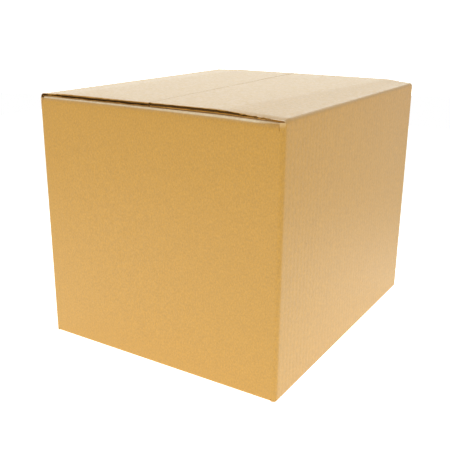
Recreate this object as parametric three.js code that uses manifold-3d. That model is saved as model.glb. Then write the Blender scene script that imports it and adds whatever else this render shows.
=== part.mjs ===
// A closed, untaped slotted carton of single-wall corrugated board.
// Millimetres, +Z up. The origin is on the floor under the middle of the carton.
// X runs across the front panel, which faces -Y, and Y runs along the side panels.
// The carton is one folded blank: walls, bottom flaps and the two short top flaps are one
// solid, and the two long top flaps, which open first, are solids of their own at their folds.

import * as THREE from 'three';
import { mergeVertices } from 'three/addons/utils/BufferGeometryUtils.js';
import Module from 'manifold-3d';

// Outside size of the carton.
const width = 300;
const depth = 360;
const creaseHeight = 280;

// Board: two liners and a wavy medium between them.
const board = 4;
const liner = 0.4;
const medium = 0.3;
const flutePitch = 7.8;
const glueLine = 0.6;

// Folds. Radii are on the outside of the bend, apart from the inner one.
const cornerRadius = 5;
const innerCornerRadius = 1;
const innerFoldRadius = 3;
const sideFoldRadius = 2.2;
const bottomFoldRadius = 2;
const bottomFootGap = 0.3;
const footFlat = 6;
const footRise = 9;

// Slots between the flaps, cut from the edge of the blank down past the folds.
const slotInset = 5;
const slotDepth = 3;
const flapSetback = 3;
const bottomSetback = 4;

// Where the long top flaps meet. The free edges run askew, towards the left at the back.
const seamGap = 1.2;
const seamOffset = -1;
const seamSkew = 18;

// Air between a folded flap and what it lies on.
const clearance = 0.3;

// Short top flaps and all bottom flaps reach this far from their folds.
const shortReach = 149.4;
const bottomSeamGap = 1;

// Joint of the blank: a lap on the back panel, glued inside the left panel.
const lapWidth = 35;
const lapThickness = 3;
const lapTaper = 14;
const rawEdgeInset = 2;

// The two long flaps. The left fold keeps the board's thickness. The right one is crushed
// thin at the fold and comes back to full thickness over a long ramp, and its free edge
// stands a little proud of its neighbour. Hollows are open to the free edge.
const longFlaps = {
  left: { side: -1, foldThickness: board, rampLength: 9, lift: 0, hollowStart: 9, startsLow: true },
  right: { side: 1, foldThickness: 1.1, rampLength: 70, lift: 0.5, hollowStart: 40, startsLow: false }
};

// How far a cutter or a joined solid runs past the face that it cuts or meets.
const overrun = 1;

const arcSteps = 5;
const rampSteps = 7;
const hollowSteps = 6;

const kraft = new THREE.Color(0xd9b67c);

const wasm = await Module();
wasm.setup();

// Solids and geometry.

function toSolid(geometry) {
  geometry.deleteAttribute('normal');
  geometry.deleteAttribute('uv');
  const merged = mergeVertices(geometry, 1e-4);
  return new wasm.Manifold(new wasm.Mesh({
    numProp: 3,
    vertProperties: merged.getAttribute('position').array,
    triVerts: Uint32Array.from(merged.getIndex().array)
  }));
}

function toGeometry(solid) {
  const mesh = solid.getMesh();
  const geometry = new THREE.BufferGeometry();
  geometry.setAttribute('position', new THREE.BufferAttribute(mesh.vertProperties, 3));
  geometry.setIndex(new THREE.BufferAttribute(mesh.triVerts, 1));
  geometry.computeVertexNormals();
  return geometry;
}

function extrude(shape, length, xAxis, yAxis, zAxis, origin) {
  const geometry = new THREE.ExtrudeGeometry(shape, {
    depth: length,
    bevelEnabled: false,
    curveSegments: arcSteps
  });
  geometry.applyMatrix4(new THREE.Matrix4().makeBasis(xAxis, yAxis, zAxis).setPosition(origin));
  return toSolid(geometry);
}

const alongX = new THREE.Vector3(1, 0, 0);
const alongY = new THREE.Vector3(0, 1, 0);
const alongZ = new THREE.Vector3(0, 0, 1);
const againstY = new THREE.Vector3(0, -1, 0);

// A plan outline in (x, y), standing from one height to another.
function extrudeUp(shape, from, to) {
  return extrude(shape, to - from, alongX, alongY, alongZ, new THREE.Vector3(0, 0, from));
}

// A section in (x, z), running along Y.
function extrudeAlongY(shape, from, to) {
  return extrude(shape, to - from, alongX, alongZ, againstY, new THREE.Vector3(0, to, 0));
}

// A section in (y, z), running along X.
function extrudeAlongX(shape, from, to) {
  return extrude(shape, to - from, alongY, alongZ, alongX, new THREE.Vector3(from, 0, 0));
}

function polygon(points) {
  return new THREE.Shape(points.map(([a, b]) => new THREE.Vector2(a, b)));
}

function rectangle(x0, y0, x1, y1) {
  return polygon([[x0, y0], [x1, y0], [x1, y1], [x0, y1]]);
}

// Points of an arc about a centre, in degrees, ends included.
function arc(centreX, centreY, radius, from, to) {
  const points = [];
  for (let i = 0; i <= arcSteps; i++) {
    const angle = THREE.MathUtils.degToRad(from + (to - from) * i / arcSteps);
    points.push([centreX + radius * Math.cos(angle), centreY + radius * Math.sin(angle)]);
  }
  return points;
}

// Where a ray first meets a circle, as the distance along the ray.
function rayMeetsCircle(origin, direction, centre, radius) {
  const offset = origin.clone().sub(centre);
  const along = direction.dot(offset);
  return -along - Math.sqrt(along * along - offset.lengthSq() + radius * radius);
}

// Heights and places that several pieces share.

const slotBottom = creaseHeight - slotDepth;
const foldRadius = innerFoldRadius + board;
const foldStart = creaseHeight - foldRadius;
const shortHalfWidth = width / 2 - slotInset;
const longHalfLength = depth / 2 - flapSetback;
const footTop = 3 * board;

// Walls: a sleeve with rounded vertical folds. At the back left corner the back panel turns
// in behind the left panel, whose raw edge shows beside the turn.
function wallOutline() {
  const x = width / 2;
  const y = depth / 2;
  const r = cornerRadius;
  const lapX = -x + board;
  return polygon([
    ...arc(-x + r, -y + r, r, 180, 270),
    ...arc(x - r, -y + r, r, 270, 360),
    ...arc(x - r, y - r, r, 0, 90),
    ...arc(lapX + r, y - r, r, 90, 180),
    [lapX, y - rawEdgeInset],
    [-x, y - rawEdgeInset]
  ]);
}

function insideOutline() {
  const x = width / 2 - board;
  const y = depth / 2 - board;
  const r = innerCornerRadius;
  return polygon([
    ...arc(-x + r, -y + r, r, 180, 270),
    ...arc(x - r, -y + r, r, 270, 360),
    ...arc(x - r, y - r, r, 0, 90),
    ...arc(-x + r, y - r, r, 90, 180)
  ]);
}

function walls() {
  const sleeve = extrudeUp(wallOutline(), bottomFoldRadius, slotBottom);
  const inside = extrudeUp(insideOutline(), bottomFoldRadius - overrun, slotBottom + overrun);
  const foldRoom = extrudeUp(
    rectangle(-shortHalfWidth, -depth, shortHalfWidth, depth), foldStart, slotBottom + overrun);
  return sleeve.subtract(inside).subtract(foldRoom);
}

function glueLap() {
  const inner = depth / 2 - lapWidth;
  const corner = depth / 2 - board / 2;
  const bottom = 2 * board;
  const top = foldStart;
  const side = polygon([
    [corner, bottom - board / 2],
    [corner, top],
    [inner, top - lapTaper],
    [inner, bottom + lapTaper]
  ]);
  const x = -width / 2 + board;
  return extrudeAlongX(side, x - board / 2, x + lapThickness);
}

// Front or back panel's top fold and the short flap behind it. v runs inwards from the face.
function shortTopFlap(end) {
  const r = foldRadius;
  const top = creaseHeight;
  const section = [
    [0, foldStart - board],
    ...arc(r, top - r, r, 180, 90),
    [shortReach, top],
    [shortReach, top - board],
    ...arc(r, top - r, innerFoldRadius, 90, 180),
    [board, foldStart - board]
  ];
  const placed = section.map(([v, z]) => [end * (depth / 2 - v), z]);
  return extrudeAlongX(polygon(placed), -shortHalfWidth, shortHalfWidth);
}

// Front or back panel's bottom fold and its flap, which lies on the side panels' flaps.
function shortBottomFlap(end) {
  const r = bottomFoldRadius;
  const section = [
    [0, footTop],
    ...arc(r, r + bottomFootGap, r, 180, 270),
    [footFlat, bottomFootGap],
    [footRise, board],
    [shortReach, board],
    [shortReach, 2 * board],
    [board, 2 * board],
    [board, footTop]
  ];
  const placed = section.map(([v, z]) => [end * (depth / 2 - v), z]);
  return extrudeAlongX(polygon(placed), -shortHalfWidth, shortHalfWidth);
}

// Side panel's bottom fold and its flap, the outermost layer of the bottom.
function longBottomFlap(side) {
  const r = bottomFoldRadius;
  const reach = width / 2 - bottomSeamGap / 2;
  const section = [
    [0, footTop],
    ...arc(r, r, r, 180, 270),
    [reach, 0],
    [reach, board],
    [board, board],
    [board, footTop]
  ];
  const placed = section.map(([u, z]) => [side * (width / 2 - u), z]);
  const halfLength = depth / 2 - bottomSetback;
  return extrudeAlongY(polygon(placed), -halfLength, halfLength);
}

// The fold line of a long flap, in (u, w): u runs inwards from the side panel's face and w up
// from the height of the front fold. The hinge axis is the sharp corner that the rounded fold
// leaves out, and the split between panel and flap runs from there down to the inner face.
function foldSplit(flap) {
  const rise = clearance + flap.foldThickness;
  const hinge = new THREE.Vector2(0, rise);
  const direction = new THREE.Vector2(board, clearance - rise).normalize();
  const upwards = new THREE.Vector2(-direction.y, direction.x);
  const centre = new THREE.Vector2(sideFoldRadius, rise - sideFoldRadius);
  return { rise, hinge, direction, upwards, centre };
}

function angleOn(centre, point) {
  return THREE.MathUtils.radToDeg(Math.atan2(point.y - centre.y, point.x - centre.x));
}

// Top of a side panel, from under the slots up to the split.
function sideFold(flap) {
  const { hinge, direction, centre } = foldSplit(flap);
  const distance = rayMeetsCircle(hinge, direction, centre, sideFoldRadius);
  const splitTop = hinge.clone().addScaledVector(direction, distance);
  const section = [
    [0, -2 * board],
    ...arc(centre.x, centre.y, sideFoldRadius, 180, angleOn(centre, splitTop)),
    [board, clearance],
    [board, -2 * board]
  ];
  const placed = section.map(([u, w]) => [flap.side * (width / 2 - u), creaseHeight + w]);
  return extrudeAlongY(polygon(placed), -longHalfLength, longHalfLength);
}

function cartonBody() {
  return walls()
    .add(glueLap())
    .add(shortTopFlap(-1))
    .add(shortTopFlap(1))
    .add(shortBottomFlap(-1))
    .add(shortBottomFlap(1))
    .add(longBottomFlap(-1))
    .add(longBottomFlap(1))
    .add(sideFold(longFlaps.left))
    .add(sideFold(longFlaps.right));
}

// Long flap: underside and thickness at a distance u from the side panel's face.

function underside(flap, u) {
  return clearance + flap.lift * THREE.MathUtils.smoothstep(u, flap.rampLength / 2, flap.rampLength);
}

function thickness(flap, u) {
  const ramp = THREE.MathUtils.smoothstep(u, sideFoldRadius, flap.rampLength);
  return THREE.MathUtils.lerp(flap.foldThickness, board, ramp);
}

// Section of a long flap in (u, w), from the split to past the seam.
function longFlapSection(flap) {
  const { rise, hinge, direction, upwards, centre } = foldSplit(flap);
  const origin = hinge.clone().addScaledVector(upwards, clearance);
  const distance = rayMeetsCircle(origin, direction, centre, sideFoldRadius);
  const splitTop = origin.clone().addScaledVector(direction, distance);
  const foot = origin.x + (origin.y - clearance) * direction.x / -direction.y;
  const reach = width / 2 + seamSkew + Math.abs(seamOffset) + board;
  const stations = [];
  for (let i = 1; i <= rampSteps; i++) {
    stations.push(THREE.MathUtils.lerp(sideFoldRadius, flap.rampLength, i / rampSteps));
  }
  stations.push(reach);
  const above = stations.map((u) => [u, underside(flap, u) + thickness(flap, u)]);
  const below = stations.filter((u) => u > foot + overrun).map((u) => [u, underside(flap, u)]);
  return [
    ...arc(centre.x, centre.y, sideFoldRadius, angleOn(centre, splitTop), 90),
    ...above,
    ...below.reverse(),
    [foot, clearance]
  ].map(([u, w]) => [u, w - rise]);
}

// Plan of a long flap: square to its fold, with the free edge along the askew seam.
function longFlapPlan(flap) {
  const front = seamOffset + flap.side * seamGap / 2;
  const back = front - seamSkew;
  const hinge = flap.side * width / 2;
  return polygon([
    [flap.side * board, -longHalfLength],
    [front - hinge, -longHalfLength],
    [back - hinge, longHalfLength],
    [flap.side * board, longHalfLength]
  ]);
}

// One hollow between the medium and a liner: a lobe in (v, w), v along the cut edge and w up
// through the board, run from beyond the free edge to its closed end in the ramp.
function hollow(flap, middle, low) {
  const { rise } = foldSplit(flap);
  const halfWidth = (flutePitch - glueLine) / 2;
  const height = board - 2 * liner - medium;
  const lobe = [];
  for (let i = 0; i <= hollowSteps; i++) {
    const v = THREE.MathUtils.lerp(-halfWidth, halfWidth, i / hollowSteps);
    const bulge = height * (1 + Math.cos(Math.PI * v / halfWidth)) / 2;
    lobe.push([middle + v, low ? liner + bulge : board - liner - bulge]);
  }
  const reach = width / 2 + seamSkew + Math.abs(seamOffset) + 2 * board;
  const rings = [reach, flap.rampLength];
  if (flap.hollowStart < flap.rampLength) {
    rings.push(flap.hollowStart);
  }
  const sections = rings.map((u) => lobe.map(([v, w]) => new THREE.Vector3(
    -flap.side * u,
    v,
    underside(flap, u) + w * thickness(flap, u) / board - rise
  )));
  return loft(sections);
}

// A closed solid through rings of equal count, with flat ends.
function loft(sections) {
  const count = sections[0].length;
  const positions = sections.flat().flatMap((p) => [p.x, p.y, p.z]);
  const indices = [];
  for (let s = 0; s + 1 < sections.length; s++) {
    for (let i = 0; i < count; i++) {
      const a = s * count + i;
      const b = s * count + (i + 1) % count;
      indices.push(a, b, b + count, a, b + count, a + count);
    }
  }
  const last = (sections.length - 1) * count;
  for (let i = 1; i + 1 < count; i++) {
    indices.push(0, i + 1, i);
    indices.push(last, last + i, last + i + 1);
  }
  if (signedVolume(positions, indices) < 0) {
    indices.reverse();
  }
  const geometry = new THREE.BufferGeometry();
  geometry.setAttribute('position', new THREE.Float32BufferAttribute(positions, 3));
  geometry.setIndex(indices);
  return toSolid(geometry);
}

function signedVolume(positions, indices) {
  const corner = (i) => new THREE.Vector3().fromArray(positions, 3 * indices[i]);
  let volume = 0;
  for (let i = 0; i < indices.length; i += 3) {
    volume += corner(i).dot(corner(i + 1).cross(corner(i + 2))) / 6;
  }
  return volume;
}

function hollows(flap) {
  const row = [];
  const half = flutePitch / 2;
  const count = Math.ceil(2 * longHalfLength / half);
  for (let i = 0; i <= count; i++) {
    const low = (i % 2 === 0) === flap.startsLow;
    row.push(hollow(flap, -longHalfLength + i * half, low));
  }
  return wasm.Manifold.union(row);
}

function longTopFlap(flap) {
  const section = longFlapSection(flap).map(([u, w]) => [-flap.side * u, w]);
  const strip = extrudeAlongY(polygon(section), -depth, depth);
  const plan = extrudeUp(longFlapPlan(flap), -depth, depth);
  return strip.intersect(plan).subtract(hollows(flap));
}

function kraftMesh(name, solid) {
  const material = new THREE.MeshStandardMaterial({ color: kraft, roughness: 0.85, metalness: 0 });
  const mesh = new THREE.Mesh(toGeometry(solid), material);
  mesh.name = name;
  return mesh;
}

const carton = new THREE.Group();
carton.name = 'carton';
carton.add(kraftMesh('carton_body', cartonBody()));

for (const [name, flap] of Object.entries(longFlaps)) {
  const mesh = kraftMesh(`${name}_top_flap`, longTopFlap(flap));
  mesh.position.set(flap.side * width / 2, 0, creaseHeight + foldSplit(flap).rise);
  carton.add(mesh);
}

export default carton;
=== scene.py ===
"""Looks of a closed cardboard carton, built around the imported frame.

Sizes are in millimetres and are turned into metres where meshes are made. In a section, v runs
inwards from the face of a panel, u inwards from a side panel, and z is the height above the floor.
"""
import math

import bmesh
import bpy
import numpy as np
from mathutils import Matrix, Vector


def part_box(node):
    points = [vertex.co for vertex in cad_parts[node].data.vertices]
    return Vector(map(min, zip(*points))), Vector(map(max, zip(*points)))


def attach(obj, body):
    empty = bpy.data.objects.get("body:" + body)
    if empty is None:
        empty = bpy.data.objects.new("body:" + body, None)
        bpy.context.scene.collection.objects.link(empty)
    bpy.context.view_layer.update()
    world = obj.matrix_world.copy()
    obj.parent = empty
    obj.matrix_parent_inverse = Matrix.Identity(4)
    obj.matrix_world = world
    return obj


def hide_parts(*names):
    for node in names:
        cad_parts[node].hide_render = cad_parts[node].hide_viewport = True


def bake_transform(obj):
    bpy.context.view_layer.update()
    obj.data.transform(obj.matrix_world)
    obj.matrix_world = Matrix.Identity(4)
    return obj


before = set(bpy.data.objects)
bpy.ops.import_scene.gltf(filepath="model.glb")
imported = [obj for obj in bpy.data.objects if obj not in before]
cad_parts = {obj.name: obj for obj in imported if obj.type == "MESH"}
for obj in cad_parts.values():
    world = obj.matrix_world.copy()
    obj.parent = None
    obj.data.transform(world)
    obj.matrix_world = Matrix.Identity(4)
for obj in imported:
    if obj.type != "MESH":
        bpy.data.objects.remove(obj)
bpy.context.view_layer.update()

MM = 0.001

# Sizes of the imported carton.
body_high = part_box("carton_body")[1]
HALF_WIDTH = body_high.x / MM
HALF_DEPTH = body_high.y / MM

# The board, its folds, flaps and lap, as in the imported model.
BOARD = 4.0
LINER = 0.4
MEDIUM = 0.3
PITCH = 7.8
CREASE_HEIGHT = 280.0
CLEARANCE = 0.3
CORNER_RADIUS = 5.0
BOTTOM_RADIUS = 2.0
FOOT_GAP = 0.3
FOOT_FLAT = 6.0
FLAP_SETBACK = 3.0
LONG_HALF_LENGTH = 177.0
SHORT_REACH = 149.4
SHORT_HALF_WIDTH = 144.5
SEAM_GAP = 1.2
SEAM_FRONT = -1.0
SEAM_SKEW = 18.0
BOTTOM_SEAM_HALF_GAP = 0.5
LAP_WIDTH = 35.0
LAP_THICKNESS = 3.0
LAP_TAPER = 14.0
RAW_EDGE_INSET = 2.0

# The walls stand straight between these heights. Between two flaps they reach from CORNER_FOOT
# to SLOT_TOP.
WALL_BOTTOM = 3.3
WALL_TOP = 270.0
CORNER_FOOT = 0.6
SLOT_TOP = 278.6

# How far the lap's lower and upper end stay inside the straight part of the walls, and the left
# end of the back short flaps, which stop beside the lap.
LAP_FOOT = 9.0
LAP_HEAD = 1.0
BACK_FLAP_LEFT = -141.0

# Where, inwards from the face, a fold of the walls ends and the layers of its flap begin.
SHORT_START = 14.0
BOTTOM_START = 10.0

# The short top folds soften and dip towards the right. The spans are places along x.
SHORT_FOLD_RADIUS = 5
SHORT_FOLD_SOFTENING = 1.8
SOFTENING_SPAN = (-60, 120)
CROWN_DIP = 1.3
CROWN_DIP_SPAN = (70, 146)

# Over this span from its front end, a long flap stops following the dip in the front fold.
DROOP_SPAN = (1, 11)

# The long top flaps. Pairs are values at the front and the back end: the thickness at the fold,
# the ramp over which the board comes back to full thickness, and the rise off the short flaps.
# The fold band ends and the flap's own layers begin at cut. The medium touches the upper liner at
# crest. The fold band turns with the flap from the first to the second place of bend, given as
# (u, z) from the hinge.
FLAPS = {
    "left": {
        "side": -1, "radius": 4.5, "fold": (2.7, 2.9), "ramp": (40.0, 40.0), "lift": (0.0, 0.4),
        "cut": 10.0, "crest": -LONG_HALF_LENGTH, "bend": ((-2.5, -2.5), (2.5, 2.5)),
    },
    "right": {
        "side": 1, "radius": 4.0, "fold": (1.1, 1.3), "ramp": (70.0, 34.0), "lift": (0.25, 0.45),
        "cut": 14.0, "crest": -LONG_HALF_LENGTH + PITCH / 2, "bend": ((2, -6.4), (9, -0.6)),
    },
}

# Relief of the panels: the washboard of the flutes, and a slow bow that fades out near the folds.
RIPPLE = 0.03
BOW = 0.35
BOW_LENGTHS = (61, 83, 37, 59)
SHORT_BOW = 0.6
BOW_SEED = 0.6
BOW_SEED_STEP = 1.7
BOW_FADE = (5, 40)
BOW_TOP_FADE = (12, 45)
TOP_RELIEF = 0.5
INNER_RELIEF = 0.8

# Painted highlight and wear, from 0 to 1. The short top folds are paled over a band of v, as a
# painted highlight on the rounded crease with some wear. Over the fade span along x, towards the
# right, that band comes to start later and to be fainter. The tops of the front corners get a
# painted highlight.
HIGHLIGHT_AND_WEAR_START = (0.9, 2.3)
HIGHLIGHT_AND_WEAR_END = (3.5, 7)
HIGHLIGHT_AND_WEAR_FADE_SPAN = (115, 144)
HIGHLIGHT_AND_WEAR_FADE = 0.35
CORNER_HIGHLIGHT = 0.3
CORNER_HIGHLIGHT_START = 273

# Painted highlight on the fold bands: paler where they face upwards. It grows with the upward part
# of the normal, and fades over a span of u counted from the end of the arc.
FOLD_HIGHLIGHT = 0.1
FOLD_HIGHLIGHT_SLOPE = (0.1, 0.7)
FOLD_HIGHLIGHT_FADE = (-1, 2)

# A fold band goes from rounded in plan, like the corners, to straight over a height above
# WALL_TOP, and lines up with the face of the side panel over a span of u. Where it is crushed, a
# liner and the medium take up at most these shares of its thickness.
STRAIGHTEN_HEIGHT = 6
SETTLE_SPAN = (0, 4)
MOST_SKIN = 0.4
MOST_WEB = 0.2

# Cut ends: how far the paper stands back and up or down, and how much more where it is crushed.
# The wander has a new value every few samples, and a straight change between them.
END_WANDER = 0.25
WANDER_STEP = 3
RAGGED = 0.35
RAGGED_IF_CRUSHED = 4
FRAY = 0.55
FRAY_IF_CRUSHED = 0.5
CURL = 1.6
MEDIUM_END_INSET = 0.1
GLUE_GAP = 0.02

# How finely the meshes are divided. TOP_ROWS include CROWN_ROWS past the arc of a short fold. The
# rows of a flap stand closer together near its fold, by this power of their place along it.
SAMPLES_PER_FLUTE = 8
MEDIUM_SAMPLES_PER_FLUTE = 14
ROW_CROWDING = 1.5
BOTTOM_ROWS = 7
WALL_ROWS = 22
TOP_ROWS = 12
CROWN_ROWS = 3
BOTTOM_PART = slice(0, BOTTOM_ROWS)
WALL_PART = slice(BOTTOM_ROWS, BOTTOM_ROWS + WALL_ROWS)
TOP_PART = slice(BOTTOM_ROWS + WALL_ROWS, BOTTOM_ROWS + WALL_ROWS + TOP_ROWS)
LONG_FLAP_ROWS = 38
OTHER_FLAP_ROWS = 6
FOLD_RISE_ROWS = 5
FOLD_ARC_ROWS = 9
FOLD_RAMP_ROWS = 8
SHARP_ANGLE = 40

# Colours of the paper, and how glossy it is.
LINER_COLOUR = (0.52, 0.256, 0.018, 1)
# The pale colour of the painted highlight, the wear and the flecks.
PALE_COLOUR = (1.0, 0.87, 0.6, 1)
INSIDE_COLOUR = (0.5, 0.25, 0.05, 1)
CUT_COLOUR = (0.5, 0.22, 0.025, 1)
# The medium and the liners' faces in the flutes are far darker than the paper: painted shade in the
# flute channels.
FLUTE_SHADE_COLOUR = (0.14, 0.058, 0.008, 1)
GLOSS_SPREAD = 0.06
TOOTH = 0.00002

# Noise in the paper: scale, detail and stretch. Its values lie mostly within NOISE_RANGE, and are
# spread from there over HIGHLIGHT_AND_WEAR_SPREAD for the strength of the painted highlight and
# wear, and over FLECK_SPREAD for pale flecks.
PAPER_NOISE = {
    "clouds": (90, 4, (1, 1, 1)),
    "fibres": (650, 5, (1, 1, 0.6)),
    "highlight_and_wear_patches": (260, 3, (1, 1, 1)),
    "flecks": (700, 3, (1, 1, 1)),
    "gloss": (300, 3, (1, 1, 1)),
    "tooth": (1400, 4, (1, 1, 0.5)),
}
NOISE_RANGE = (0.3, 0.7)
NOISE_ROUGHNESS = 0.6
HIGHLIGHT_AND_WEAR_SPREAD = (0.7, 1.0)
FLECK_SPREAD = (0.0, 0.05)

# Camera at the photograph's angle. Angles are in degrees.
CAMERA_PLACE = Vector((419.16, -708.01, 377.2)) * MM
CAMERA_AZIMUTH = 31.96
CAMERA_DOWN = 17.96
CAMERA_ROLL = 0.44
CAMERA_LENS = 54.7
CAMERA_SENSOR = 36

# Stage, in metres: a white lit floor, a white backdrop behind, and soft light from the front.
# The floor glows most near the carton's front left.
SKY_LIGHT = 0.54
FLOOR_SIZE = 1.5
FLOOR_WHITE = 0.7
FLOOR_GLOW = 1.4
FLOOR_FAR_GLOW = 0.58
FLOOR_GLOW_CENTRE = (-0.08, -0.22, 0)
FLOOR_GLOW_SPAN = (0.3, 1.0)
FLOOR_TINT = (0.95, 1.0, 0.94, 1)
BACKDROP_WHITE = 0.8
BACKDROP_GLOW = 1.65
BACKDROP_TINT = (0.93, 1.0, 0.94, 1)
BACKDROP_DISTANCE = 2.2
BACKDROP_WIDTH = 2.8
BACKDROP_HEIGHT = 1.8

# Front lights: name, azimuth from the front panel, elevation and power.
FRONT_LIGHTS = (("front_left_light", -40, 35, 4.0), ("front_right_light", 60, 35, 3.7))
LIGHT_SIZE = 1.2
LIGHT_DISTANCE = 1.8
LIGHT_AIM = (0, 0, 0.14)

# Material numbers of every piece: outer face, inner face, cut edges and surfaces in the flutes, which
# are painted dark as shade in the flute channels.
OUTSIDE, INSIDE, CUT, FLUTE = range(4)

# Random draws for the frayed edges, the same in each run.
rng = np.random.default_rng(7)


def smooth(x, low, high):
    t = np.clip((np.asarray(x, float) - low) / (high - low), 0, 1)
    return t * t * (3 - 2 * t)


def points_on_arc(centre, radius, start, stop, count):
    angle = np.radians(np.linspace(start, stop, count))
    return np.stack([centre[0] + radius * np.cos(angle), centre[1] + radius * np.sin(angle)], -1)


def path_normals(path):
    """Unit normals of a path of (v, z) points, to the left of its direction."""
    step = np.gradient(path, axis=0)
    normal = np.stack([-step[..., 1], step[..., 0]], -1)
    return normal / np.linalg.norm(normal, axis=-1, keepdims=True)


# Paper.

def kraft(name, colour, roughness, mottle=0.025, fibre=0.14, ior=1.5, specular=0.5):
    """Uncoated kraft paper: mottled pulp, short fibres and a little tooth."""
    material = bpy.data.materials.new(name)
    material.use_nodes = True
    nodes, links = material.node_tree.nodes, material.node_tree.links
    shader = nodes["Principled BSDF"]
    shader.inputs["IOR"].default_value = ior
    shader.inputs["Specular IOR Level"].default_value = specular
    place = nodes.new("ShaderNodeTexCoord").outputs["Object"]

    def noise(kind):
        scale, detail, stretch = PAPER_NOISE[kind]
        mapping = nodes.new("ShaderNodeMapping")
        mapping.inputs["Scale"].default_value = stretch
        links.new(place, mapping.inputs["Vector"])
        texture = nodes.new("ShaderNodeTexNoise")
        texture.inputs["Scale"].default_value = scale
        texture.inputs["Detail"].default_value = detail
        texture.inputs["Roughness"].default_value = NOISE_ROUGHNESS
        links.new(mapping.outputs["Vector"], texture.inputs["Vector"])
        return texture.outputs["Fac"]

    def spread(value, low, high):
        node = nodes.new("ShaderNodeMapRange")
        node.inputs["From Min"].default_value, node.inputs["From Max"].default_value = NOISE_RANGE
        node.inputs["To Min"].default_value = low
        node.inputs["To Max"].default_value = high
        links.new(value, node.inputs["Value"])
        return node.outputs["Result"]

    def times(a, b):
        node = nodes.new("ShaderNodeMath")
        node.operation = "MULTIPLY"
        links.new(a, node.inputs[0])
        links.new(b, node.inputs[1])
        return node.outputs["Value"]

    level = times(spread(noise("clouds"), 1 - mottle, 1 + mottle),
                  spread(noise("fibres"), 1 - fibre, 1 + fibre))
    scale = nodes.new("ShaderNodeVectorMath")
    scale.operation = "SCALE"
    scale.inputs[0].default_value = colour[:3]
    links.new(level, scale.inputs["Scale"])

    # Paled by the mesh's painted highlight and wear, broken into patches, and by pale flecks.
    highlight_and_wear_attribute = nodes.new("ShaderNodeAttribute")
    highlight_and_wear_attribute.attribute_name = "highlight_and_wear"
    flecks = nodes.new("ShaderNodeMath")
    flecks.use_clamp = True
    highlight_and_wear_patches = times(highlight_and_wear_attribute.outputs["Fac"], spread(noise("highlight_and_wear_patches"), *HIGHLIGHT_AND_WEAR_SPREAD))
    links.new(highlight_and_wear_patches, flecks.inputs[0])
    links.new(spread(noise("flecks"), *FLECK_SPREAD), flecks.inputs[1])
    pale = nodes.new("ShaderNodeMix")
    pale.data_type = "RGBA"
    pale.inputs["B"].default_value = PALE_COLOUR
    links.new(flecks.outputs["Value"], pale.inputs["Factor"])
    links.new(scale.outputs["Vector"], pale.inputs["A"])
    links.new(pale.outputs["Result"], shader.inputs["Base Color"])

    gloss = spread(noise("gloss"), roughness - GLOSS_SPREAD, roughness + GLOSS_SPREAD)
    links.new(gloss, shader.inputs["Roughness"])
    tooth = nodes.new("ShaderNodeBump")
    tooth.inputs["Distance"].default_value = TOOTH
    tooth.inputs["Strength"].default_value = 1.0
    links.new(noise("tooth"), tooth.inputs["Height"])
    links.new(tooth.outputs["Normal"], shader.inputs["Normal"])
    return material


BOARD_MATERIALS = (
    kraft("kraft_outside", LINER_COLOUR, roughness=0.38, ior=1.55),
    kraft("kraft_inside", INSIDE_COLOUR, roughness=0.7),
    kraft("kraft_cut_edge", CUT_COLOUR, roughness=0.85, mottle=0.12, fibre=0.15, specular=0.1),
    # Dark, as painted shade in the flutes.
    kraft("kraft_flute_shade", FLUTE_SHADE_COLOUR, roughness=0.85, specular=0.1),
)


# Sheets and pieces.

def thick_sheet(outer, inner, keep=None, highlight_and_wear=None, kinds=(OUTSIDE, INSIDE, CUT)):
    """Vertices, quads, material numbers and painted highlight and wear of a closed sheet between two
    grids of points.

    keep says which quads of the grid there are. The painted highlight and wear is given per point of
    the outer grid. kinds are the material numbers of the outer face, the inner face and the rim.
    """
    rows, columns = outer.shape[:2]
    if keep is None:
        keep = np.ones((rows - 1, columns - 1), bool)
    front = np.arange(rows * columns).reshape(rows, columns)
    back = front + rows * columns
    i, j = np.nonzero(keep)
    faces = [
        np.stack([front[i, j], front[i, j + 1], front[i + 1, j + 1], front[i + 1, j]], 1),
        np.stack([back[i, j], back[i + 1, j], back[i + 1, j + 1], back[i, j + 1]], 1),
    ]
    # Per side of a quad: where its neighbour lies in the padded grid, and the side's two corners.
    around = np.pad(keep, 1)
    sides = [((0, 1), (0, 0), (0, 1)), ((2, 1), (1, 1), (1, 0)),
             ((1, 0), (1, 0), (0, 0)), ((1, 2), (0, 1), (1, 1))]
    for (di, dj), (ai, aj), (bi, bj) in sides:
        neighbour = around[di:di + rows - 1, dj:dj + columns - 1]
        i, j = np.nonzero(keep & ~neighbour)
        a = (i + ai, j + aj)
        b = (i + bi, j + bj)
        faces.append(np.stack([front[b], front[a], back[a], back[b]], 1))
    numbers = np.repeat((kinds[0], kinds[1]) + (kinds[2],) * len(sides), [len(f) for f in faces])
    faces = np.concatenate(faces)
    points = np.concatenate([outer.reshape(-1, 3), inner.reshape(-1, 3)])
    paled = np.zeros(len(points))
    if highlight_and_wear is not None:
        paled[:rows * columns] = highlight_and_wear.ravel()
    used, faces = np.unique(faces, return_inverse=True)
    return points[used], faces.reshape(-1, 4), numbers, paled[used]


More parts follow.
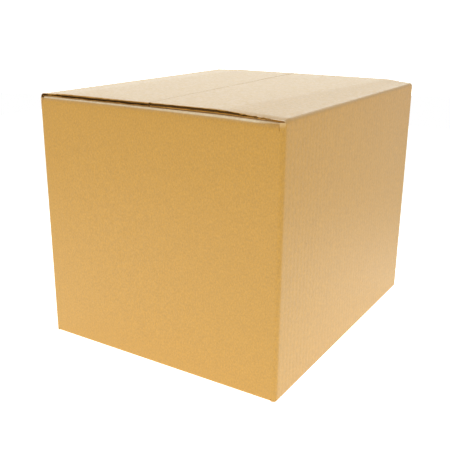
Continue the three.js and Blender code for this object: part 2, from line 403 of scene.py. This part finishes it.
def make_mesh(name, sheets):
    """One object from closed sheets."""
    starts = np.cumsum([0] + [len(sheet[0]) for sheet in sheets])
    points = np.concatenate([sheet[0] for sheet in sheets]) * MM
    faces = np.concatenate([sheet[1] + start for sheet, start in zip(sheets, starts)])
    numbers = np.concatenate([sheet[2] for sheet in sheets])
    highlight_and_wear = np.concatenate([sheet[3] for sheet in sheets])
    mesh = bpy.data.meshes.new(name)
    mesh.from_pydata(points.tolist(), [], faces.tolist())
    for material in BOARD_MATERIALS:
        mesh.materials.append(material)
    mesh.polygons.foreach_set("material_index", numbers.astype(np.int32))
    mesh.polygons.foreach_set("use_smooth", np.ones(len(faces), bool))
    mesh.set_sharp_from_angle(angle=math.radians(SHARP_ANGLE))
    # Painted highlight and wear per point, read by the paper's shader.
    mesh.attributes.new("highlight_and_wear", "FLOAT", "POINT").data.foreach_set("value", highlight_and_wear.astype(np.float32))
    shape = bmesh.new()
    shape.from_mesh(mesh)
    bmesh.ops.recalc_face_normals(shape, faces=shape.faces)
    shape.to_mesh(mesh)
    shape.free()
    mesh.update()
    piece = link_object(name, mesh)
    return piece


def link_object(name, data):
    thing = bpy.data.objects.new(name, data)
    bpy.context.collection.objects.link(thing)
    return thing


# Relief of a panel, inwards.

def washboard(across):
    return RIPPLE * (1 - np.cos(2 * np.pi * np.asarray(across) / PITCH))


def bow(a, b, seed):
    """A slow wander of 0 to BOW over a panel, along a and b."""
    long_a, long_b, short_a, short_b = BOW_LENGTHS
    waves = (np.sin(a / long_a + seed) * np.cos(b / long_b + 2 * seed)
             + SHORT_BOW * np.sin(a / short_a + b / short_b + 3 * seed))
    return BOW * (waves / (2 * (1 + SHORT_BOW)) + 0.5)


# The walls are one strip of board: from the raw edge of the left panel, past the front left,
# front right and back right folds, to the lap that turns in at the back left.

LEFT, FRONT, RIGHT, BACK, CORNER, LAP = range(6)

# Turn of a corner column away from its side panel, in degrees. The fold of a long flap ends at the
# second of SIDE_TURNS, which lies less than FOLD_END_INSET in from the face of the side panel.
FOLD_END_ANGLE = math.degrees(math.asin((CORNER_RADIUS - FLAP_SETBACK) / CORNER_RADIUS))
SIDE_TURNS = (15, FOLD_END_ANGLE, 30, 45, 60, 75)
LAP_TURNS = (15, 30, 45, 60, 75)
FOLD_END_INSET = 0.5
ROUNDING = 0.01
LAP_CORNER_GAP = 0.5


def wall_columns():
    """Plan of the strip: one row per column with x, y, normal x, normal y, kind, place along."""
    flute = PITCH / SAMPLES_PER_FLUTE
    r = CORNER_RADIUS
    x_flat = HALF_WIDTH - r
    y_flat = HALF_DEPTH - r
    lap_x = -HALF_WIDTH + BOARD
    columns = []

    def run(kind, start, stop, fixed, normal):
        count = int(round(abs(stop - start) / flute)) + 1
        for a in np.linspace(start, stop, count):
            x, y = (fixed, a) if normal[0] else (a, fixed)
            columns.append((x, y, normal[0], normal[1], kind, a))

    def turn(cx, cy, start, steps):
        for step in steps:
            angle = math.radians(start + step)
            n = (math.cos(angle), math.sin(angle))
            columns.append((cx + r * n[0], cy + r * n[1], *n, CORNER, 0))

    def corner_end(x, side):
        columns.append((x, side * HALF_DEPTH, 0, side, CORNER, 0))

    run(LEFT, HALF_DEPTH - RAW_EDGE_INSET, LONG_HALF_LENGTH, -HALF_WIDTH, (-1, 0))
    run(LEFT, LONG_HALF_LENGTH - flute, -y_flat, -HALF_WIDTH, (-1, 0))
    turn(-x_flat, -y_flat, 180, SIDE_TURNS)
    corner_end(-x_flat, -1)
    run(FRONT, -SHORT_HALF_WIDTH, SHORT_HALF_WIDTH, -HALF_DEPTH, (0, -1))
    corner_end(x_flat, -1)
    turn(x_flat, -y_flat, 270, [90 - step for step in reversed(SIDE_TURNS)])
    run(RIGHT, -y_flat, y_flat, HALF_WIDTH, (1, 0))
    turn(x_flat, y_flat, 0, SIDE_TURNS)
    corner_end(x_flat, 1)
    run(BACK, SHORT_HALF_WIDTH, lap_x + r + LAP_CORNER_GAP, HALF_DEPTH, (0, 1))
    corner_end(lap_x + r, 1)
    turn(lap_x + r, y_flat, 90, LAP_TURNS)
    run(LAP, y_flat, HALF_DEPTH - LAP_WIDTH, lap_x, (-1, 0))
    return np.array(columns)


def plan_is_side(columns):
    """Columns of a side panel's fold, which runs as far as the slots."""
    x, y, kind = columns[:, 0], columns[:, 1], columns[:, 4]
    near_face = np.abs(x) > HALF_WIDTH - FOLD_END_INSET
    between_slots = np.abs(y) < LONG_HALF_LENGTH + ROUNDING
    return (kind != LAP) & near_face & between_slots


def short_fold_radius(x):
    """Outer radius of the front and back top folds."""
    return SHORT_FOLD_RADIUS + SHORT_FOLD_SOFTENING * smooth(x, *SOFTENING_SPAN)


def crown_dip(x):
    return CROWN_DIP * smooth(x, *CROWN_DIP_SPAN)


def top_path(x):
    """Outer path of a short flap's fold, from the wall to v = SHORT_START."""
    r = short_fold_radius(x)
    top = CREASE_HEIGHT - crown_dip(x)
    bend = points_on_arc((r, top - r), r, 180, 90, TOP_ROWS - CROWN_ROWS)
    t = np.linspace(0, 1, CROWN_ROWS + 1)[1:]
    rise = np.stack([r + (SHORT_START - r) * t, top + (CREASE_HEIGHT - top) * smooth(t, 0, 1)], -1)
    return np.concatenate([bend, rise])


def bottom_path(foot, flap_low):
    """Outer path of a bottom fold, from v = BOTTOM_START out to the wall."""
    r = BOTTOM_RADIUS
    flat = [(BOTTOM_START, flap_low), (FOOT_FLAT, foot)]
    bend = points_on_arc((r, r + foot), r, 270, 180, BOTTOM_ROWS - len(flat))
    return np.concatenate([flat, bend])


def wall_paths(columns, side, short):
    """Outer and inner (v, z) path of every column, from the bottom fold to the top one."""
    outer = np.zeros((TOP_PART.stop, len(columns), 2))
    inner = np.zeros_like(outer)
    wall_z = np.linspace(WALL_BOTTOM, WALL_TOP, WALL_ROWS)
    steps = np.linspace(0, 1, TOP_ROWS + 1)[1:]
    for j, column in enumerate(columns):
        if side[j] or short[j]:
            foot, flap_low = (0.0, 0.0) if side[j] else (FOOT_GAP, BOARD)
            outer[BOTTOM_PART, j] = bottom_path(foot, flap_low)
            inner[BOTTOM_PART, j] = np.linspace(
                (BOTTOM_START, flap_low + BOARD), (BOARD, WALL_BOTTOM), BOTTOM_ROWS)
        else:
            outer[BOTTOM_PART, j, 1] = np.linspace(CORNER_FOOT, WALL_BOTTOM, BOTTOM_ROWS + 1)[:-1]
            inner[BOTTOM_PART, j] = outer[BOTTOM_PART, j] + (BOARD, 0)
        outer[WALL_PART, j, 1] = wall_z
        inner[WALL_PART, j] = outer[WALL_PART, j] + (BOARD, 0)
        if short[j]:
            outer[TOP_PART, j] = top_path(column[0])
        else:
            outer[TOP_PART, j, 1] = WALL_TOP + (SLOT_TOP - WALL_TOP) * steps
        inner[TOP_PART, j] = outer[TOP_PART, j] + (BOARD, 0)
    return outer, inner


def wall_heights(columns, lap, wall_z):
    """Heights of the straight part of the walls, which the lap's tapered ends cut short."""
    share = np.clip((HALF_DEPTH - CORNER_RADIUS - columns[:, 1]) / (LAP_WIDTH - CORNER_RADIUS), 0, 1)
    low = WALL_BOTTOM + (LAP_FOOT + LAP_TAPER * share) * lap
    high = WALL_TOP - (LAP_HEAD + LAP_TAPER * share) * lap
    return low + (wall_z - WALL_BOTTOM) / (WALL_TOP - WALL_BOTTOM) * (high - low)


def panel_relief(columns, heights):
    """Inward relief of the outer face, per row and column: washboard and bow."""
    kind, along = columns[:, 4], columns[:, 5]
    relief = np.where(kind != CORNER, washboard(along), 0)[None, :] * np.ones((len(heights), 1))
    z = np.asarray(heights)[:, None]
    for panel, half in ((LEFT, HALF_DEPTH), (FRONT, HALF_WIDTH), (RIGHT, HALF_DEPTH),
                        (BACK, HALF_WIDTH), (LAP, HALF_DEPTH)):
        mine = kind == panel
        seed = BOW_SEED_STEP * (LEFT if panel == LAP else panel) + BOW_SEED
        a = along[mine][None, :]
        fade = smooth(half - np.abs(a), *BOW_FADE) * smooth(z, *BOW_FADE)
        fade = fade * smooth(CREASE_HEIGHT - z, *BOW_TOP_FADE)
        relief[:, mine] += bow(a, z, seed) * fade
    return relief


def kept_quads(side, short, lap):
    """Quads of the strip that there are. The slots, the lap's ends and the long flaps are open."""
    keep = np.ones((TOP_PART.stop - 1, len(side) - 1), bool)
    first = TOP_PART.start
    both_side = side[:-1] & side[1:]
    meets_side = side[:-1] ^ side[1:]
    meets_short = short[:-1] ^ short[1:]
    in_lap = lap[:-1] | lap[1:]
    keep[first:, both_side | meets_short | in_lap] = False
    keep[first - 1, both_side | in_lap] = False
    keep[:BOTTOM_ROWS, meets_side | meets_short | in_lap] = False
    return keep


def wall_highlight_and_wear(columns, outer, short):
    # Painted highlight along the short top folds, with some wear, fainter towards the right; and a
    # painted highlight at the tops of the front corners.
    highlight_and_wear = np.zeros(outer.shape[:2])
    reach = outer[TOP_PART, short, 0]
    late = smooth(columns[short, 0], *HIGHLIGHT_AND_WEAR_FADE_SPAN)
    paled = smooth(reach, HIGHLIGHT_AND_WEAR_START[0] + late, HIGHLIGHT_AND_WEAR_START[1] + late) * (1 - smooth(reach, *HIGHLIGHT_AND_WEAR_END))
    highlight_and_wear[TOP_PART, short] = paled * (1 - HIGHLIGHT_AND_WEAR_FADE * late)
    front_corner = (columns[:, 4] == CORNER) & (columns[:, 1] < 0)
    height = outer[TOP_PART, front_corner, 1]
    highlight_and_wear[TOP_PART, front_corner] = CORNER_HIGHLIGHT * smooth(height, CORNER_HIGHLIGHT_START, SLOT_TOP)
    return highlight_and_wear


def build_walls():
    """The walls with their lap and folds. Returns the side columns and their relief at the top."""
    columns = wall_columns()
    kind = columns[:, 4]
    side = plan_is_side(columns)
    short = (kind == FRONT) | (kind == BACK)
    lap = kind == LAP
    outer, inner = wall_paths(columns, side, short)
    normals = np.stack([path_normals(outer[:, j]) for j in range(len(columns))], 1)
    relief = panel_relief(columns, outer[..., 1].mean(axis=1))
    inner[TOP_PART, short] = outer[TOP_PART, short] - BOARD * normals[TOP_PART, short]
    outer[WALL_PART, :, 1] = wall_heights(columns, lap, outer[WALL_PART, :, 1])
    inner[WALL_PART, :, 1] = outer[WALL_PART, :, 1]
    inner[:, lap, 0] = LAP_THICKNESS
    shown = relief.copy()
    shown[TOP_PART] *= TOP_RELIEF
    outer -= shown[..., None] * normals
    inner[WALL_PART, :, 0] += INNER_RELIEF * relief[WALL_PART]

    def place(path):
        xy = columns[None, :, :2] - columns[None, :, 2:4] * path[..., :1]
        return np.concatenate([xy, path[..., 1:]], -1)

    highlight_and_wear = wall_highlight_and_wear(columns, outer, short)
    sheet = thick_sheet(place(outer), place(inner), kept_quads(side, short, lap), highlight_and_wear)
    piece = make_mesh("carton_walls", [sheet])
    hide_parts("carton_body")
    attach(piece, "carton")
    return columns[side], relief[TOP_PART.start - 1, side]


# Corrugated panels as three layers: two liners and the wavy medium between them.

def slow_noise(count, scale, amount):
    """A random wander along an edge, in steps of about scale samples."""
    knots = rng.uniform(-amount, amount, count // scale + 3)
    return np.interp(np.arange(count) / scale, np.arange(len(knots)), knots)


def layers(across, start, end, rows, place, low, high, crest):
    """Liners and medium of a panel whose flutes run from start to end, per column across.

    low and high give the heights of the faces at (across, along). crest is where, across, the
    medium touches the upper liner.
    """
    t = np.linspace(0, 1, rows)[:, None] ** ROW_CROWDING
    ends = [0, -1]

    def crushed(a, b):
        """How far the board is squeezed: 0 at its full thickness, 1 if it were flat."""
        return 1 - (high(a, b) - low(a, b)) / BOARD

    def ragged(a, b, column):
        torn = 1 + RAGGED_IF_CRUSHED * crushed(a[:, column], b[:, column])
        return rng.uniform(0, RAGGED, rows) * torn

    def grid(places):
        first = np.interp(places, across, start)
        wander = np.abs(slow_noise(len(places), WANDER_STEP, END_WANDER))
        last = np.interp(places, across, end) - wander
        a = np.repeat(places[None, :], rows, 0)
        b = first + (last - first) * t
        a[:, 0] += ragged(a, b, 0)
        a[:, -1] -= ragged(a, b, -1)
        return a, b

    def fray(a, b, curl=0.0):
        """Uneven height of the paper along its two cut ends, more so where the board is crushed."""
        more = crushed(a[:, ends], b[:, ends])
        return rng.uniform(-curl * more, FRAY + FRAY_IF_CRUSHED * more)

    def upper_liner():
        a, b = grid(across)
        dip = washboard(a)
        dip[:, ends] += fray(a, b, CURL)
        top = high(a, b) - dip
        return thick_sheet(place(a, b, top), place(a, b, top - LINER), kinds=(OUTSIDE, FLUTE, CUT))

    def lower_liner():
        a, b = grid(across)
        dip = washboard(a)
        dip[:, ends] += fray(a, b)
        bottom = low(a, b) + dip
        return thick_sheet(place(a, b, bottom + LINER), place(a, b, bottom), kinds=(FLUTE, INSIDE, CUT))

    def medium():
        count = int(round((across[-1] - across[0]) / PITCH * MEDIUM_SAMPLES_PER_FLUTE))
        a, b = grid(np.linspace(across[0] + MEDIUM_END_INSET, across[-1] - MEDIUM_END_INSET, count))
        middle = (low(a, b) + high(a, b)) / 2
        room = (high(a, b) - low(a, b) - 2 * LINER - MEDIUM) / 2
        swing = np.maximum(room - GLUE_GAP, 0)
        angle = 2 * np.pi * (a - crest) / PITCH
        slope = swing * 2 * np.pi / PITCH * np.sin(angle)
        half = MEDIUM / 2 * np.sqrt(1 + slope ** 2)
        wave = middle + swing * np.cos(angle)
        wave[:, ends] += fray(a, b) * np.sign(middle[:, ends] - wave[:, ends])
        return thick_sheet(place(a, b, wave + half), place(a, b, wave - half), kinds=(FLUTE, FLUTE, CUT))

    medium_sheet = medium()
    return [upper_liner(), lower_liner()], medium_sheet


def finish_board(name, liners, medium_sheet, body, replaced=None):
    for part, sheets in (("liners", liners), ("medium", [medium_sheet])):
        piece = make_mesh(f"{name}_{part}", sheets)
        if replaced and part == "liners":
            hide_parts(replaced)
        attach(piece, body)


def section_place(side, along_x):
    """Turns (across, along, z) of a side or end panel into points. side is -1 or 1."""
    def place(a, b, z):
        if along_x:
            return np.stack([side * (HALF_WIDTH - b), a, z], -1)
        return np.stack([a, side * (HALF_DEPTH - b), z], -1)
    return place


def level(z):
    """A face of a panel that lies flat at one height."""
    return lambda a, b: np.full(np.shape(b), z)


# Long top flaps.

def from_front_to_back(ends, y):
    """A size that changes evenly from the front end of a long flap to its back end."""
    return ends[0] + (ends[1] - ends[0]) * (y + LONG_HALF_LENGTH) / (2 * LONG_HALF_LENGTH)


def droop(flap, y, u):
    """How far the front end of a long flap follows the dip in the front fold."""
    dip = crown_dip(flap["side"] * (HALF_WIDTH - u))
    return dip * (1 - smooth(y + LONG_HALF_LENGTH, *DROOP_SPAN))


def flap_low(flap, y, u):
    """Height of the lower face, which rises over the second half of the ramp."""
    ramp = from_front_to_back(flap["ramp"], y)
    lift = from_front_to_back(flap["lift"], y)
    rise = smooth((u - ramp / 2) / (ramp / 2), 0, 1)
    return CREASE_HEIGHT + CLEARANCE - droop(flap, y, u) + lift * rise


def flap_high(flap, y, u):
    """Height of the upper face: crushed at the fold, full thickness from the ramp's end on."""
    ramp = from_front_to_back(flap["ramp"], y)
    fold = from_front_to_back(flap["fold"], y)
    t = np.clip((u - flap["radius"]) / (ramp - flap["radius"]), 0, 1)
    share = (t + smooth(t, 0, 1)) / 2
    return flap_low(flap, y, u) + fold + (BOARD - fold) * share


def build_long_flap(name, fold_columns):
    flap = FLAPS[name]
    side = flap["side"]
    across = np.unique(np.round(fold_columns[:, 1], 6))
    share = (across + LONG_HALF_LENGTH) / (2 * LONG_HALF_LENGTH)
    seam = SEAM_FRONT + side * SEAM_GAP / 2 - SEAM_SKEW * share
    end = HALF_WIDTH - side * seam
    start = np.full(len(across), flap["cut"])
    liners, medium_sheet = layers(
        across, start, end, LONG_FLAP_ROWS, section_place(side, True),
        lambda a, b: flap_low(flap, a, b), lambda a, b: flap_high(flap, a, b), flap["crest"])
    finish_board(f"{name}_flap", liners, medium_sheet, f"{name}_flap", f"{name}_top_flap")


def fold_section(flap, y):
    """Outer and inner path of a long flap's fold, in (u, z), and the thickness between them."""
    r = flap["radius"]
    fold = from_front_to_back(flap["fold"], y)
    top = CREASE_HEIGHT + CLEARANCE + fold - droop(flap, y, r)
    rise = np.linspace(WALL_TOP, top - r, FOLD_RISE_ROWS + 1)[:-1]
    u_ramp = np.linspace(r, flap["cut"], FOLD_RAMP_ROWS + 1)[1:]
    low, high = flap_low(flap, y, u_ramp), flap_high(flap, y, u_ramp)
    outer = np.concatenate([
        np.stack([np.zeros(FOLD_RISE_ROWS), rise], -1),
        points_on_arc((r, top - r), r, 180, 90, FOLD_ARC_ROWS),
        np.stack([u_ramp, high], -1),
    ])
    depth = np.concatenate([
        fold + (BOARD - fold) * (1 - smooth(rise, WALL_TOP, top - r)),
        np.full(FOLD_ARC_ROWS, fold),
        high - low,
    ])
    inner = outer - path_normals(outer) * depth[:, None]
    inner[-FOLD_RAMP_ROWS:] = np.stack([u_ramp, low], -1)
    return outer, inner, depth


def build_fold_band(name, columns, relief):
    """The bend between a side panel and its long flap, as two liners and the medium."""
    flap = FLAPS[name]
    side = flap["side"]
    order = np.argsort(columns[:, 1])
    columns, relief = columns[order], relief[order]
    y = columns[:, 1]
    sections = [fold_section(flap, place) for place in y]
    outer, inner, depth = (np.stack(part, 1) for part in zip(*sections))
    normals = np.stack([path_normals(outer[:, j]) for j in range(len(columns))], 1)

    # Rounded in plan like the corners at its foot, straight like the flap at its top.
    straight = smooth(outer[..., 1], WALL_TOP, WALL_TOP + STRAIGHTEN_HEIGHT)
    nx = columns[:, 2] * (1 - straight) + side * straight
    ny = columns[:, 3] * (1 - straight)
    share = np.linspace(0, 1, len(outer))[:, None]
    flat = np.abs(y) < HALF_DEPTH - CORNER_RADIUS
    dent = (relief * (1 - share) + washboard(y) * share) * flat

    def place(path):
        v = path[..., 0] - dent * normals[..., 0]
        z = path[..., 1] - dent * normals[..., 1]
        settle = smooth(path[..., 0], *SETTLE_SPAN) * (side * HALF_WIDTH - columns[:, 0])
        return np.stack([columns[:, 0] + settle - nx * v, columns[:, 1] - ny * v, z], -1)

    outer_face, inner_face = place(outer), place(inner)

    def between(part):
        return outer_face + (inner_face - outer_face) * part[..., None]

    skin = np.minimum(LINER / depth, MOST_SKIN)
    web = np.minimum(MEDIUM / depth, MOST_WEB) / 2
    middle = 0.5 - (0.5 - skin - web) * np.cos(2 * np.pi * (y - flap["crest"]) / PITCH)
    # Painted highlight: the bend is paled where it faces upwards, near its arc.
    fade_start, fade_end = (flap["radius"] + u for u in FOLD_HIGHLIGHT_FADE)
    over_arc = 1 - smooth(outer[..., 0], fade_start, fade_end)
    highlight_and_wear = FOLD_HIGHLIGHT * smooth(normals[..., 1], *FOLD_HIGHLIGHT_SLOPE) * over_arc
    piece = make_mesh(f"{name}_fold", [
        thick_sheet(outer_face, between(skin), highlight_and_wear=highlight_and_wear, kinds=(OUTSIDE, FLUTE, CUT)),
        thick_sheet(between(1 - skin), inner_face, kinds=(FLUTE, INSIDE, CUT)),
        thick_sheet(between(middle - web), between(middle + web), kinds=(FLUTE, FLUTE, FLUTE)),
    ])
    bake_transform(piece)


# Short top flaps and all bottom flaps, which ride with the walls.

def build_flat_flap(name, side, along_x, across_ends, start, end, low):
    """A flat flap of full thickness, whose flutes run from start to end."""
    count = int(round((across_ends[1] - across_ends[0]) / PITCH * SAMPLES_PER_FLUTE)) + 1
    across = np.linspace(*across_ends, count)
    liners, medium_sheet = layers(
        across, np.full(count, start), np.full(count, end), OTHER_FLAP_ROWS,
        section_place(side, along_x), level(low), level(low + BOARD), across_ends[0])
    finish_board(name, liners, medium_sheet, "carton")


def build_short_flaps():
    for side, name, left in ((-1, "front", -SHORT_HALF_WIDTH), (1, "back", BACK_FLAP_LEFT)):
        ends = (left, SHORT_HALF_WIDTH)
        build_flat_flap(f"{name}_top_flap", side, False, ends, SHORT_START, SHORT_REACH,
                        CREASE_HEIGHT - BOARD)
        build_flat_flap(f"{name}_bottom_flap", side, False, ends, BOTTOM_START, SHORT_REACH, BOARD)


def build_long_bottom_flaps():
    half = HALF_DEPTH - BOARD
    for side, name in ((-1, "left"), (1, "right")):
        build_flat_flap(f"{name}_bottom_flap", side, True, (-half, half), BOTTOM_START,
                        HALF_WIDTH - BOTTOM_SEAM_HALF_GAP, 0.0)


# Camera, stage and light.

def add_camera():
    data = bpy.data.cameras.new("camera")
    data.lens = CAMERA_LENS
    data.sensor_width = CAMERA_SENSOR
    data.clip_start = 0.01
    data.clip_end = 100
    camera = link_object("camera", data)
    turn = Matrix.Rotation(math.radians(CAMERA_AZIMUTH), 4, "Z")
    turn @= Matrix.Rotation(math.radians(90 - CAMERA_DOWN), 4, "X")
    turn @= Matrix.Rotation(math.radians(CAMERA_ROLL), 4, "Z")
    camera.matrix_world = Matrix.Translation(CAMERA_PLACE) @ turn
    bpy.context.scene.camera = camera


def stage_paint(name, white, glow, tint):
    """Matt white paint with a glow of its own. Returns the material and its shader."""
    paint = bpy.data.materials.new(name)
    paint.use_nodes = True
    shader = paint.node_tree.nodes["Principled BSDF"]
    shader.inputs["Base Color"].default_value = (white, white, white, 1)
    shader.inputs["Roughness"].default_value = 0.9
    shader.inputs["Specular IOR Level"].default_value = 0.0
    shader.inputs["Emission Color"].default_value = tint
    shader.inputs["Emission Strength"].default_value = glow
    return paint, shader


def add_floor():
    s = FLOOR_SIZE
    mesh = bpy.data.meshes.new("floor")
    mesh.from_pydata([(-s, -s, 0), (s, -s, 0), (s, s, 0), (-s, s, 0)], [], [(0, 1, 2, 3)])
    paint, shader = stage_paint("white_floor", FLOOR_WHITE, FLOOR_GLOW, FLOOR_TINT)
    nodes, links = paint.node_tree.nodes, paint.node_tree.links
    away = nodes.new("ShaderNodeVectorMath")
    away.operation = "DISTANCE"
    away.inputs[1].default_value = FLOOR_GLOW_CENTRE
    links.new(nodes.new("ShaderNodeTexCoord").outputs["Object"], away.inputs[0])
    fall = nodes.new("ShaderNodeMapRange")
    fall.interpolation_type = "SMOOTHSTEP"
    fall.inputs["From Min"].default_value, fall.inputs["From Max"].default_value = FLOOR_GLOW_SPAN
    fall.inputs["To Min"].default_value = FLOOR_GLOW
    fall.inputs["To Max"].default_value = FLOOR_FAR_GLOW
    links.new(away.outputs["Value"], fall.inputs["Value"])
    links.new(fall.outputs["Result"], shader.inputs["Emission Strength"])
    mesh.materials.append(paint)
    return link_object("floor", mesh)


def add_backdrop():
    w, h = BACKDROP_WIDTH / 2, BACKDROP_HEIGHT
    mesh = bpy.data.meshes.new("backdrop")
    mesh.from_pydata([(-w, 0, 0), (w, 0, 0), (w, 0, h), (-w, 0, h)], [], [(0, 1, 2, 3)])
    paint = stage_paint("white_backdrop", BACKDROP_WHITE, BACKDROP_GLOW, BACKDROP_TINT)[0]
    mesh.materials.append(paint)
    backdrop = link_object("backdrop", mesh)
    turn = Matrix.Rotation(math.radians(CAMERA_AZIMUTH), 4, "Z")
    backdrop.matrix_world = turn @ Matrix.Translation((0, BACKDROP_DISTANCE, 0))
    return backdrop


def add_front_light(name, azimuth, elevation, power):
    """A square light that faces the carton. Azimuth 0 is in front of the front panel."""
    data = bpy.data.lights.new(name, "AREA")
    data.size = LIGHT_SIZE
    data.energy = power
    light = link_object(name, data)
    turn = Matrix.Rotation(math.radians(azimuth), 4, "Z")
    turn @= Matrix.Rotation(math.radians(90 - elevation), 4, "X")
    away = Matrix.Translation((0, 0, LIGHT_DISTANCE))
    light.matrix_world = Matrix.Translation(LIGHT_AIM) @ turn @ away


def add_sky():
    """A soft white sky, seen and mirrored at full white."""
    world = bpy.data.worlds.new("white_sky")
    bpy.context.scene.world = world
    world.use_nodes = True
    nodes, links = world.node_tree.nodes, world.node_tree.links
    sky = nodes["Background"]
    sky.inputs["Color"].default_value = (1, 1, 1, 1)
    path = nodes.new("ShaderNodeLightPath")
    white = path.outputs["Is Camera Ray"]
    for kind in ("Is Glossy Ray", "Is Transmission Ray"):
        either = nodes.new("ShaderNodeMath")
        either.operation = "MAXIMUM"
        links.new(white, either.inputs[0])
        links.new(path.outputs[kind], either.inputs[1])
        white = either.outputs["Value"]
    seen = nodes.new("ShaderNodeMapRange")
    seen.inputs["To Min"].default_value = SKY_LIGHT
    seen.inputs["To Max"].default_value = 1.0
    links.new(white, seen.inputs["Value"])
    links.new(seen.outputs["Result"], sky.inputs["Strength"])


def add_stage():
    add_floor()
    add_backdrop()
    for light in FRONT_LIGHTS:
        add_front_light(*light)
    add_sky()


def main():
    add_camera()
    fold_columns, relief = build_walls()
    for name, flap in FLAPS.items():
        mine = np.sign(fold_columns[:, 0]) == flap["side"]
        build_fold_band(name, fold_columns[mine], relief[mine])
        build_long_flap(name, fold_columns[mine])
    build_short_flaps()
    build_long_bottom_flaps()
    add_stage()


main()
bpy.context.scene.view_settings.view_transform = "Standard"
